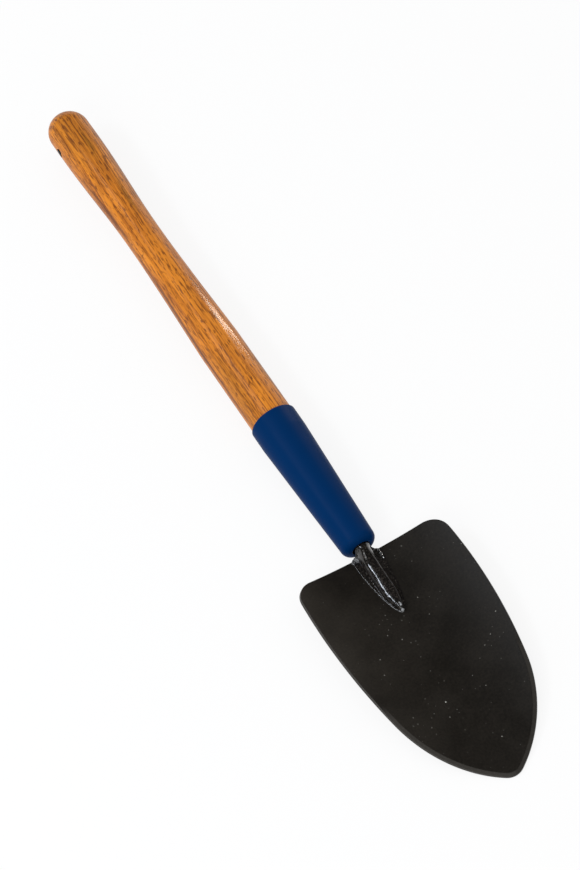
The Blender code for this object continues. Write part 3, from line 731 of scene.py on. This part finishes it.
def nail_mesh(sizes):
    """A wire nail turned about its own axis and driven up into the tool's back: domed head,
    parallel wire and a short point."""
    head = sizes.pin_head / 2
    wire = NAIL_DIAMETER / 2
    profile = [(head * math.cos(a), NAIL_DOME * math.sin(a)) for a in degrees(85, 12, 9)]
    profile += [(head, NAIL_RIM), (head - 2 * NAIL_RIM, 0.0), (wire, 0.0),
                (wire, 2 * wire - NAIL_LENGTH), (NAIL_POINT, NAIL_POINT - NAIL_LENGTH)]
    grid = turned(profile, 40)
    seat = ferrule_radius(sizes, sizes.pin_station) + NAIL_GAP
    # The nail's own axis, Y above, points down out of the back.
    x, out, z = np.moveaxis(grid, -1, 0)
    grid = joined(x, z - sizes.pin_station, -out - seat)
    return skin("ferrule_nail", grid, (0.0, -sizes.pin_station, -seat - NAIL_DOME),
                (0.0, -sizes.pin_station, NAIL_LENGTH - seat))


class TROWEL_OT_nail(bpy.types.Operator):
    """Drives the nail that holds the ferrule, in the tool's back."""
    bl_idname = "trowel.nail"
    bl_label = "Nail"

    def execute(self, context):
        fit(nail_mesh(context.scene.trowel_sizes),
            new_material(bright_nail, context.scene.trowel_colours), "ferrule_pin", 40)
        return {"FINISHED"}


# Blade

NOSE_TO_BLADE = 3.0 * MM
FACE_BELOW_AXIS = 6.0 * MM
BLADE_TILT = math.radians(0.57)
WIDEST_FROM_TOP = 0.0418
SHOULDER_FROM_TOP = 0.1208
TOP_EDGE_RADIUS = 0.5245
CORNER_RADIUS = 0.0143
SIDE_RADIUS = 0.4067
TIP_RADIUS = 0.0115
GROUND_DEPTH = 0.6 * MM
GROUND_FULL_FROM_TOP = 0.1184
GROUND_FADE = 0.0170
RIM_ROUNDING = 0.28 * MM

# Spacing, seed, height and number of lattices of the rolled plate's waves
PLATE_WAVES = (22 * MM, 5, 0.05 * MM, 3)

# Where the plate's rings close, on its middle line
BLADE_MIDDLE = (0.0, -0.080)

# Painted shade: the ground edge's grey is weaker on its right side, away from the lamps, by this
# share of its left side
RIGHT_SHADE_SHARE = 0.6


def on_tool(sizes, points):
    """Carries points of the blade's frame, origin on the face in the middle of the top edge,
    into the tool's: a turn by the blade's tilt about X, then a move."""
    move = (0.0, -sizes.ferrule_length - NOSE_TO_BLADE, -FACE_BELOW_AXIS)
    return tipped(points, BLADE_TILT, move)


def rolled(sizes, flat_x, y, z):
    """Bends the flat plate: angle = x / R, then x = (R - z) sin angle, z = R - (R - z) cos
    angle, with R the roll radius."""
    radius = sizes.roll_radius
    angle = flat_x / radius
    return joined((radius - z) * np.sin(angle), y, radius - (radius - z) * np.cos(angle))


def face_height(sizes, x):
    """Height of the rolled face at x over its middle line."""
    return sizes.roll_radius - np.sqrt(sizes.roll_radius ** 2 - x ** 2)


def half_outline(sizes):
    """Right half of the outline, (x, distance below the top edge), as five arcs that meet
    smoothly: top edge, corner, side, lower side and tip."""
    top_centre = np.array([0.0, TOP_EDGE_RADIUS])
    side_centre = np.array([sizes.blade_width / 2 - SIDE_RADIUS, WIDEST_FROM_TOP])
    to_top, to_side = TOP_EDGE_RADIUS - CORNER_RADIUS, SIDE_RADIUS - CORNER_RADIUS
    between = top_centre - side_centre
    apart = np.linalg.norm(between)
    along = (to_side ** 2 - to_top ** 2 + apart ** 2) / (2 * apart)
    across = math.sqrt(to_side ** 2 - along ** 2)
    way = between / apart
    round_corner = side_centre + along * way + across * np.array([way[1], -way[0]])
    top_angle = math.atan2(*(round_corner - top_centre)[::-1])
    side_angle = math.atan2(*(round_corner - side_centre)[::-1])
    shoulder_angle = math.asin((SHOULDER_FROM_TOP - WIDEST_FROM_TOP) / SIDE_RADIUS)
    out = np.array([math.cos(shoulder_angle), math.sin(shoulder_angle)])
    shoulder = side_centre + SIDE_RADIUS * out
    tip_centre = np.array([0.0, sizes.blade_length - TIP_RADIUS])
    chord = shoulder - tip_centre
    lower_radius = (chord @ chord - TIP_RADIUS ** 2) / (2 * (chord @ out - TIP_RADIUS))
    lower_centre = shoulder - lower_radius * out
    tip_angle = math.atan2(*(tip_centre - lower_centre)[::-1])
    arcs = ((top_centre, TOP_EDGE_RADIUS, -math.pi / 2, top_angle, 120),
            (round_corner, CORNER_RADIUS, top_angle, side_angle, 80),
            (side_centre, SIDE_RADIUS, side_angle, shoulder_angle, 240),
            (lower_centre, lower_radius, shoulder_angle, tip_angle, 240),
            (tip_centre, TIP_RADIUS, tip_angle, math.pi / 2, 80))
    return np.concatenate([arc(centre, radius, spread(start, finish, count + 1)[:-1])
                           for centre, radius, start, finish, count in arcs])


def plate_outline(sizes, count):
    """The whole outline of the flat plate, (x along the face, y), in even steps."""
    half = half_outline(sizes)
    tip = np.array([[0.0, sizes.blade_length]])
    x, down = np.concatenate([half, tip, half[:0:-1] * (-1, 1)]).T
    x = sizes.roll_radius * np.arcsin(x / sizes.roll_radius)
    loop = joined(x, -down)
    closed = np.concatenate([loop, loop[:1]])
    walked = np.concatenate([[0], np.cumsum(np.linalg.norm(np.diff(closed, axis=0), axis=1))])
    steps = spread(0, walked[-1], count + 1)[:-1]
    return joined(*(np.interp(steps, walked, closed[:, i]) for i in (0, 1)))


def blade_mesh(sizes):
    """The plate as rings from the middle of its face, out over the ground bevel, round the cut
    edge and back to the middle of its back, then rolled.

    Each ring is the outline moved inwards by its inset, or, further in, shrunk towards the
    middle, at its own height.
    """
    columns = 480
    thick = sizes.blade_thickness
    outline = plate_outline(sizes, columns)
    tangent = np.roll(outline, -1, axis=0) - np.roll(outline, 1, axis=0)
    tangent /= np.linalg.norm(tangent, axis=1, keepdims=True)
    inward = joined(tangent[:, 1], -tangent[:, 0])
    middle = np.array(BLADE_MIDDLE)
    if np.mean(np.sum(inward * (middle - outline), axis=1)) < 0:
        inward = -inward

    # Inset, height and wear of each ring: the bevel, given by inset and share of its depth, the
    # rounded rim, the cut edge, the rounded back edge and the back
    ground = ease((-outline[:, 1] - GROUND_FULL_FROM_TOP) / GROUND_FADE + 1)
    # Painted shade: the right side's ground edge is given less grey
    right_shade = np.where(outline[:, 0] > 0, RIGHT_SHADE_SHARE, 1.0)
    rim = -GROUND_DEPTH * ground
    width = sizes.ground_width
    bevel = ((4.2 * MM, 0.0), (3.4 * MM, 0.0), (width + 0.25 * MM, 0.0), (width, 0.04),
             (width - 0.25 * MM, 0.11), (width * 0.7, 0.3), (width * 0.45, 0.55),
             (width * 0.25, 0.75), (RIM_ROUNDING, 1 - RIM_ROUNDING / width))
    quarter = [(RIM_ROUNDING * (1 - math.sin(angle)), RIM_ROUNDING * (1 - math.cos(angle)),
                math.sin(angle)) for angle in degrees(0, 90, 6)[1:]]
    rows = [(inset, rim * share, ground * min(1.0, share * 8) * right_shade) for inset, share in bevel]
    rows += [(inset, rim - fall, np.maximum(ground, wear)) for inset, fall, wear in quarter]
    rows += [(0.0, rim - RIM_ROUNDING + (2 * RIM_ROUNDING - thick - rim) * share, 1.0)
             for share in (0.25, 0.5, 0.75)]
    rows += [(inset, -thick + fall, wear) for inset, fall, wear in quarter[::-1]]
    rows += [(inset, -thick, 0.0) for inset in (RIM_ROUNDING, 1.5 * MM, 4.2 * MM)]
    rings = np.array([outline + inward * inset for inset, height, wear in rows])
    heights = np.array([height + 0 * ground for inset, height, wear in rows])
    wear_and_painted_light = np.array([wear + 0 * ground for inset, height, wear in rows])

    def shrunk(ring, count):
        """Rings from the middle to this one, in even steps, without both ends."""
        return middle + (ring - middle) * spread(0.0, 1.0, count + 1)[1:-1, None, None]

    face, back = shrunk(rings[0], 66), shrunk(rings[-1], 56)[::-1]
    unworn = [np.zeros(part.shape[:2]) for part in (face, back)]
    rings = np.concatenate([face, rings, back])
    heights = np.concatenate([unworn[0], heights, unworn[1] - thick])
    wear_and_painted_light = np.concatenate([unworn[0], wear_and_painted_light, unworn[1]])
    # The face and the back have the same waves, so that the plate keeps its thickness.
    flat = joined(rings[..., 0], rings[..., 1], 0.0)
    heights = heights + ripple(np.round(flat, 5), *PLATE_WAVES)
    grid = on_tool(sizes, rolled(sizes, rings[..., 0], rings[..., 1], heights))
    poles = on_tool(sizes, rolled(sizes, np.zeros(2), np.full(2, middle[1]),
                                  np.array([0.0, -thick])))
    mesh = skin("rolled_blade", grid, *poles)
    paint_points(mesh, "ground", np.append(wear_and_painted_light.ravel(), [0.0, 0.0]))
    return mesh


class TROWEL_OT_blade(bpy.types.Operator):
    """Cuts, grinds and rolls the blade."""
    bl_idname = "trowel.blade"
    bl_label = "Blade"

    def execute(self, context):
        fit(blade_mesh(context.scene.trowel_sizes),
            new_material(blackened_plate, context.scene.trowel_colours),
            "blade", 50)
        return {"FINISHED"}


# Shank and weld

TANG_SIDE = 8.0 * MM
TANG_END_SIDE = 3.5 * MM
FLARE_LENGTH = 4.5 * MM
FOOT_PARALLEL = 8.0 * MM
FOOT_EDGE = 1.0 * MM
FOOT_TIP_THICKNESS = 1.2 * MM
FOOT_NOSE = 3.5 * MM
FOOT_BAR_SHARE = 0.85
FOOT_BAR_CROWN = 2.2
FOOT_BAR_FLANK = 0.7
FOOT_FILLET = 0.12 * MM
FOOT_ROUNDING = 0.35 * MM
CREST_RUN = 15.5 * MM
FOOT_SEAT = 0.05 * MM
FOOT_UNDERCUT = 0.12
NECK_SHOWN = 12 * MM
SHOULDER_GAP = 0.3 * MM

# Spacing, seed and height of the hammer marks. A pit is where its own ripple is over a level.
HAMMER_MARKS = (4.2 * MM, 41, 0.11 * MM)
PITS = (1.1 * MM, 47)
PIT_LEVEL = 0.3
PIT_DEPTH = 0.10 * MM

# The marks start this far inside the ferrule, fade in, and fade out before the point. They reach
# this far round the underside, as the sine of the angle.
MARKS_INSIDE = 10 * MM
MARKS_FADE_IN = 4 * MM
MARKS_FADE_OUT = 3 * MM
MARKS_UNDER = 0.35

# The painted highlight along the flange's left edge: its width, and where below the top edge it
# starts
HIGHLIGHT_LINE = 0.5 * MM
FLANGE_HIGHLIGHT_FROM = 5.0 * MM

# The rubbed spots on the flare: spacing, seed and strength, then their middle below the top edge,
# reach along the tool and distance to the left
SPOTS = (1.3 * MM, 83, 2.0)
SPOTS_PLACE = 0.4 * MM
SPOTS_REACH = 3.2 * MM
SPOTS_OUT = 5.0 * MM

# Painted highlights at the point, on the ridge's end and the tip: x, distance below the top edge,
# half of the width and the length
TIP_HIGHLIGHTS = (
    (0.2 * MM, 45.4 * MM, 0.9 * MM, 2.1 * MM),
    (-0.3 * MM, 49.2 * MM, 2.0 * MM, 1.0 * MM),
)


def foot_half_width(sizes, down):
    """Half-width of the forging: round neck, short flare, then w (1 - s^1.4)^0.5 over the
    pointed stretch, with s its share."""
    neck = sizes.shank_diameter / 2
    flare = ease((down + NOSE_TO_BLADE) / FLARE_LENGTH)
    share = clamp((down - FOOT_PARALLEL) / (sizes.foot_length - FOOT_PARALLEL))
    return (neck + (sizes.foot_width / 2 - neck) * flare) * np.sqrt(1 - share ** 1.4)


def foot_crest(sizes, down):
    """Height of the foot's ridge over the face: eased down from the neck's top, a long straight
    fall, then a quarter of an ellipse down to the point's thickness."""
    neck = FACE_BELOW_AXIS + sizes.shank_diameter / 2
    drop = ease((down + NOSE_TO_BLADE) / CREST_RUN)
    crest = neck + (sizes.foot_height - neck) * drop
    start = CREST_RUN - NOSE_TO_BLADE
    share = clamp((down - start) / (sizes.foot_length - start))
    crest = crest + (sizes.foot_end_height - sizes.foot_height) * share
    nose = clamp((down - sizes.foot_length) / FOOT_NOSE + 1.0)
    return FOOT_TIP_THICKNESS + (crest - FOOT_TIP_THICKNESS) * np.sqrt(1 - nose ** 2)


def foot_height(sizes, x, half, edge, crest):
    """Height of the foot's upper side at x: a round bar, (1 - |x / b|^2.2)^0.7 of the way up to
    its crest with b half its width, that stands on a thin flange in a fillet. The flange's edge is
    rounded over. Near the point the bar keeps a share of the flange's width."""
    bar = np.minimum(sizes.foot_bar_width / 2, half * FOOT_BAR_SHARE)
    rise = (1 - np.minimum(np.abs(x) / bar, 1.0) ** FOOT_BAR_CROWN) ** FOOT_BAR_FLANK
    fillet = FOOT_FILLET * np.exp(-np.maximum(np.abs(x) - bar, 0.0) / FOOT_FILLET)
    over = clamp((np.abs(x) - half) / FOOT_ROUNDING + 1.0)
    return (edge + np.maximum((crest - edge) * rise, fillet)
            - FOOT_ROUNDING * (1 - np.sqrt(1 - over ** 2)))


def shank_mesh(sizes):
    """A loft of sections along the tool: square tang, round neck, and a foot whose underside
    follows the blade's face. The visible stretch is raised and sunk along its normals by hammer
    marks and scale pits."""
    columns = 224
    angle = around(columns)
    cosine, sine = np.cos(angle), np.sin(angle)
    blade_station = sizes.ferrule_length + NOSE_TO_BLADE
    radius = sizes.shank_diameter / 2
    shoulder = sizes.handle_in_ferrule + SHOULDER_GAP

    def section(station, reach):
        """A section square to the handle's axis, with this reach at each angle."""
        return joined(cosine * reach, -station, sine * reach)

    square = square_reach(angle)
    hidden = [section(shoulder - TANG_LENGTH, TANG_END_SIDE * square),
              section(shoulder, TANG_SIDE * square), section(shoulder, radius)]
    neck_station = spread(sizes.ferrule_length - NECK_SHOWN, sizes.ferrule_length, 36)[:-1]
    neck = [section(station, radius) for station in neck_station]

    def foot(down):
        """Sections of the foot: its upper side, then a short way down to its underside."""
        down = down[:, None]
        half, crest = foot_half_width(sizes, down), foot_crest(sizes, down)
        x = half * cosine
        under = face_height(sizes, x) + FOOT_SEAT
        edge = face_height(sizes, half) + FOOT_SEAT + FOOT_EDGE
        edge = np.minimum(edge, (crest + under) / 2)
        domed = foot_height(sizes, x, half, edge, crest)
        rim = domed[:, :1]
        side = rim + (under - rim) * clamp(-sine / FOOT_UNDERCUT)
        return on_tool(sizes, joined(x, -down, np.where(sine >= 0, domed, side)))

    share = spread(0.0, 1.0, 28)[:, None, None]
    flare_station = sizes.ferrule_length + FLARE_LENGTH * share[:, 0, 0]
    round_part = np.array([section(station, radius) for station in flare_station])
    flare = round_part + (foot(flare_station - blade_station) - round_part) * ease(share)
    start = FLARE_LENGTH - NOSE_TO_BLADE
    walk = np.sin(degrees(0.0, 88.5, 190))[1:]
    pointed = foot(start + (sizes.foot_length - start) * walk)
    shown = np.concatenate([neck, flare, pointed])
    station = -shown[..., 1]
    fade = ease((station - sizes.ferrule_length + MARKS_INSIDE) / MARKS_FADE_IN)
    fade = fade * ease((blade_station + sizes.foot_length - station) / MARKS_FADE_OUT)
    marks = ripple(shown * (1.0, 0.6, 1.0), *HAMMER_MARKS)
    pits = clamp(ripple(shown, *PITS) - PIT_LEVEL) * PIT_DEPTH
    shown = raised(shown, (marks - pits) * fade * clamp(sine + MARKS_UNDER))
    grid = np.concatenate([hidden, shown])
    point = on_tool(sizes, np.array([0.0, -sizes.foot_length, FOOT_SEAT + FOOT_TIP_THICKNESS / 2]))
    mesh = skin("forged_shank", grid, (0.0, TANG_LENGTH - shoulder, 0.0), point)
    # Where the pale steel goes: painted highlights and rubbed spots
    wear_and_painted_light = np.zeros(grid.shape[:2])
    wear_and_painted_light[len(hidden):] = forging_wear_and_highlights(sizes, shown)
    paint_points(mesh, "wear_and_painted_light", np.append(wear_and_painted_light.ravel(), [0.0, 0.6]))
    return mesh


def forging_wear_and_highlights(sizes, shown):
    """How much pale steel is painted on: a painted highlight along the flange's left edge that
    grows towards the point, rough rubbed spots where the flare starts on that side, and two
    painted highlights at the point."""
    x, down = shown[..., 0], -shown[..., 1] - sizes.ferrule_length - NOSE_TO_BLADE
    half = foot_half_width(sizes, np.clip(down, -NOSE_TO_BLADE, sizes.foot_length))
    left = clamp(-x / (3 * HIGHLIGHT_LINE))
    edge = clamp((-x - half) / HIGHLIGHT_LINE + 1.0) * left
    grown = clamp((down - FLANGE_HIGHLIGHT_FROM) / (sizes.foot_length - FLANGE_HIGHLIGHT_FROM))
    spots = clamp(ripple(shown, *SPOTS))
    flare = clamp(1.0 - np.abs(down - SPOTS_PLACE) / SPOTS_REACH)
    flare = flare * clamp((-x - SPOTS_OUT) / MM)
    wear_and_painted_light = np.maximum(edge * (0.15 + 0.85 * grown ** 2) * (down > FLANGE_HIGHLIGHT_FROM),
                      spots * flare)
    for place_x, place_down, across, along in TIP_HIGHLIGHTS:
        apart = np.hypot((x - place_x) / across, (down - place_down) / along)
        wear_and_painted_light = np.maximum(wear_and_painted_light, clamp(2.0 - 2.0 * apart))
    return wear_and_painted_light


class TROWEL_OT_shank(bpy.types.Operator):
    """Forges the shank with its tang and its pointed foot."""
    bl_idname = "trowel.shank"
    bl_label = "Shank"

    def execute(self, context):
        fit(shank_mesh(context.scene.trowel_sizes),
            new_material(lacquered_forging, context.scene.trowel_colours),
            "shank", 38)
        return {"FINISHED"}


BEAD_RADIUS = 1.0 * MM
BEAD_START = -1.2 * MM
BEAD_CAP = 0.2 * MM

# How far the bead's middle lies inside the foot's edge and over the face, the spacing of its
# ripples, and the size and height of its roughness
BEAD_INSET = 0.3 * MM
BEAD_HEIGHT = 0.9 * MM
BEAD_RIPPLE = 1.1 * MM
BEAD_GRAIN = 0.9 * MM
BEAD_GRAIN_HEIGHT = 0.14 * MM

# Side, sign of its x, length and seed of its roughness
BEADS = (("left", -1, 4.5 * MM, 61), ("right", 1, 10.5 * MM, 71))


def bead_mesh(sizes, name, side, run, seed):
    """A bead along the foot's edge: a tube whose radius swells along its run, crossed by even
    ripples and roughened all over."""
    share = spread(0.02, 0.98, 48)
    down = BEAD_START + run * share
    x = side * (foot_half_width(sizes, down) - BEAD_INSET)
    z = face_height(sizes, x) + BEAD_HEIGHT
    radius = BEAD_RADIUS * (0.35 + 0.65 * np.sqrt(np.sin(np.pi * share)))
    radius *= 1 + 0.10 * np.cos(2 * np.pi * down / BEAD_RIPPLE)
    angle = around(28)
    grid = joined(x[:, None] + radius[:, None] * np.cos(angle), -down[:, None],
                  z[:, None] + radius[:, None] * np.sin(angle))
    grid = raised(grid, ripple(grid, BEAD_GRAIN, seed, BEAD_GRAIN_HEIGHT))
    ends = [(x[i], -down[i] + lift, z[i]) for i, lift in ((0, BEAD_CAP), (-1, -BEAD_CAP))]
    return skin(name, on_tool(sizes, grid), *on_tool(sizes, ends))


class TROWEL_OT_weld(bpy.types.Operator):
    """Lays the weld beads on both sides of the foot."""
    bl_idname = "trowel.weld"
    bl_label = "Weld beads"

    def execute(self, context):
        material = new_material(weld_steel, context.scene.trowel_colours)
        for which, side, run, seed in BEADS:
            mesh = bead_mesh(context.scene.trowel_sizes, "bead_" + which, side, run, seed)
            fit(mesh, material, "weld_bead_" + which)
        return {"FINISHED"}


# Stage

# Direction seen from the tool, distance, width along the tool, height across it, power in watts
# and colour of each lamp, and whether it lights matt surfaces too
LAMPS = (
    ("key", (-0.60, -0.545, 0.58), 2.3, 1.1, 1.1, 12.0, "#FFFFFF", True),
    ("ridge", (-0.65, 0.21, 0.73), 2.2, 1.0, 0.32, 12.5, "#EAF2FF", True),
    ("side", (0.771, 0.576, 0.272), 1.06, 0.085, 0.72, 4.2, "#FFF0DC", False),
    ("sheen", (-0.35, 0.42, 0.84), 2.2, 0.9, 0.9, 3.5, "#FFFFFF", True),
)
AMBIENT = 0.72

# Half of the floor's side, and how much of its look is plain white
FLOOR_REACH = 6.0
FLOOR_WHITE = 0.86

# Walls are white up to this height of a unit direction, and fade to the dark ceiling
WALL_TOP = 0.10
CEILING_START = 0.32
CEILING = 0.05


class TROWEL_OT_stage(bpy.types.Operator):
    """Sets the pale floor, the soft lamps, the white surroundings and the camera."""
    bl_idname = "trowel.stage"
    bl_label = "Stage"

    def execute(self, context):
        scene = context.scene
        scene.view_settings.view_transform = "Standard"
        self.lay_floor()
        for name, way, distance, width, height, power, shade, matt in LAMPS:
            lamp = bpy.data.lights.new(name, "AREA")
            lamp.shape = "ELLIPSE"
            lamp.size = width
            lamp.size_y = height
            lamp.energy = power
            lamp.color = colour(shade)[:3]
            obj = put(name, lamp)
            facing = Vector(way).normalized()
            across = Vector((0.0, 1.0, 0.0)).cross(facing).normalized()
            obj.location = facing * distance
            turn = Matrix((across.cross(facing), across, facing)).transposed()
            obj.rotation_euler = turn.to_euler()
            obj.visible_diffuse = matt
        self.light_world(scene)
        lens = bpy.data.cameras.new("photo_camera")
        lens.lens = CAMERA_LENS
        lens.sensor_width = CAMERA_SENSOR
        camera = put("photo_camera", lens)
        camera.location = CAMERA_PLACE
        camera.rotation_euler = CAMERA_TURN
        scene.camera = camera
        return {"FINISHED"}

    def lay_floor(self):
        """A pale matt sheet that shows nearly white and keeps the tool's shadow."""
        mesh = bpy.data.meshes.new("floor")
        corners = [(x * FLOOR_REACH, y * FLOOR_REACH, 0)
                   for x, y in ((-1, -1), (1, -1), (1, 1), (-1, 1))]
        mesh.from_pydata(corners, [], [(0, 1, 2, 3)])
        material = bpy.data.materials.new("pale_floor")
        material.use_nodes = True
        tree = material.node_tree
        tree.nodes.remove(tree.nodes["Principled BSDF"])
        rays = add(tree, "LightPath").node.outputs
        seen = add(tree, "Math", {0: rays["Is Camera Ray"], 1: rays["Is Glossy Ray"]},
                   operation="MAXIMUM")
        share = add(tree, "Math", {0: seen, 1: FLOOR_WHITE}, operation="MULTIPLY")
        sheet = add(tree, "BsdfDiffuse", {"Color": colour("#F2F2F2")})
        white = add(tree, "Emission", {"Color": (1.0, 1.0, 1.0, 1.0), "Strength": 1.0})
        mixed = add(tree, "MixShader", {0: share, 1: sheet, 2: white})
        fill(tree, tree.nodes["Material Output"], {"Surface": mixed})
        mesh.materials.append(material)
        put("floor", mesh)

    def light_world(self, scene):
        """Even dim light on matt surfaces. The camera and gloss see white walls, strength 1, that
        darken towards the ceiling."""
        world = bpy.data.worlds.new("studio")
        world.use_nodes = True
        tree = world.node_tree
        rays = add(tree, "LightPath").node.outputs
        seen = add(tree, "Math", {0: rays["Is Camera Ray"], 1: rays["Is Glossy Ray"]},
                   operation="MAXIMUM")
        seen = add(tree, "Math", {0: seen, 1: rays["Is Transmission Ray"]}, operation="MAXIMUM")
        up = add(tree, "SeparateXYZ", {0: add(tree, "TexCoord", give="Generated")}, "Z")
        wall = add(tree, "MapRange", {"Value": up, "From Min": WALL_TOP,
                                      "From Max": CEILING_START, "To Min": 1.0,
                                      "To Max": CEILING}, interpolation_type="SMOOTHSTEP")
        level = add(tree, "Mix", {0: seen, 2: AMBIENT, 3: wall}, data_type="FLOAT")
        fill(tree, tree.nodes["Background"], {"Color": (1.0, 1.0, 1.0, 1.0), "Strength": level})
        scene.world = world


OPERATORS = (TROWEL_OT_handle, TROWEL_OT_ferrule, TROWEL_OT_nail, TROWEL_OT_shank,
             TROWEL_OT_blade, TROWEL_OT_weld, TROWEL_OT_stage)


class TROWEL_PT_panel(bpy.types.Panel):
    """Lists the trowel's pieces, sizes and colours."""
    bl_label = "Nursery Trowel"
    bl_idname = "TROWEL_PT_panel"
    bl_space_type = "VIEW_3D"
    bl_region_type = "UI"
    bl_category = "Trowel"

    def draw(self, context):
        for operator in OPERATORS:
            self.layout.operator(operator.bl_idname)
        for group in (context.scene.trowel_sizes, context.scene.trowel_colours):
            for name in group.__annotations__:
                self.layout.prop(group, name)


CLASSES = (TrowelSizes, TrowelColours, *OPERATORS, TROWEL_PT_panel)


def register():
    for cls in CLASSES:
        bpy.utils.register_class(cls)
    bpy.types.Scene.trowel_sizes = PointerProperty(type=TrowelSizes)
    bpy.types.Scene.trowel_colours = PointerProperty(type=TrowelColours)


def unregister():
    del bpy.types.Scene.trowel_colours
    del bpy.types.Scene.trowel_sizes
    for cls in reversed(CLASSES):
        bpy.utils.unregister_class(cls)


def main():
    register()
    bpy.ops.trowel.handle()
    bpy.ops.trowel.ferrule()
    bpy.ops.trowel.nail()
    bpy.ops.trowel.shank()
    bpy.ops.trowel.blade()
    bpy.ops.trowel.weld()
    bpy.ops.trowel.stage()
    bpy.context.view_layer.update()


if __name__ == "__main__":
    main()
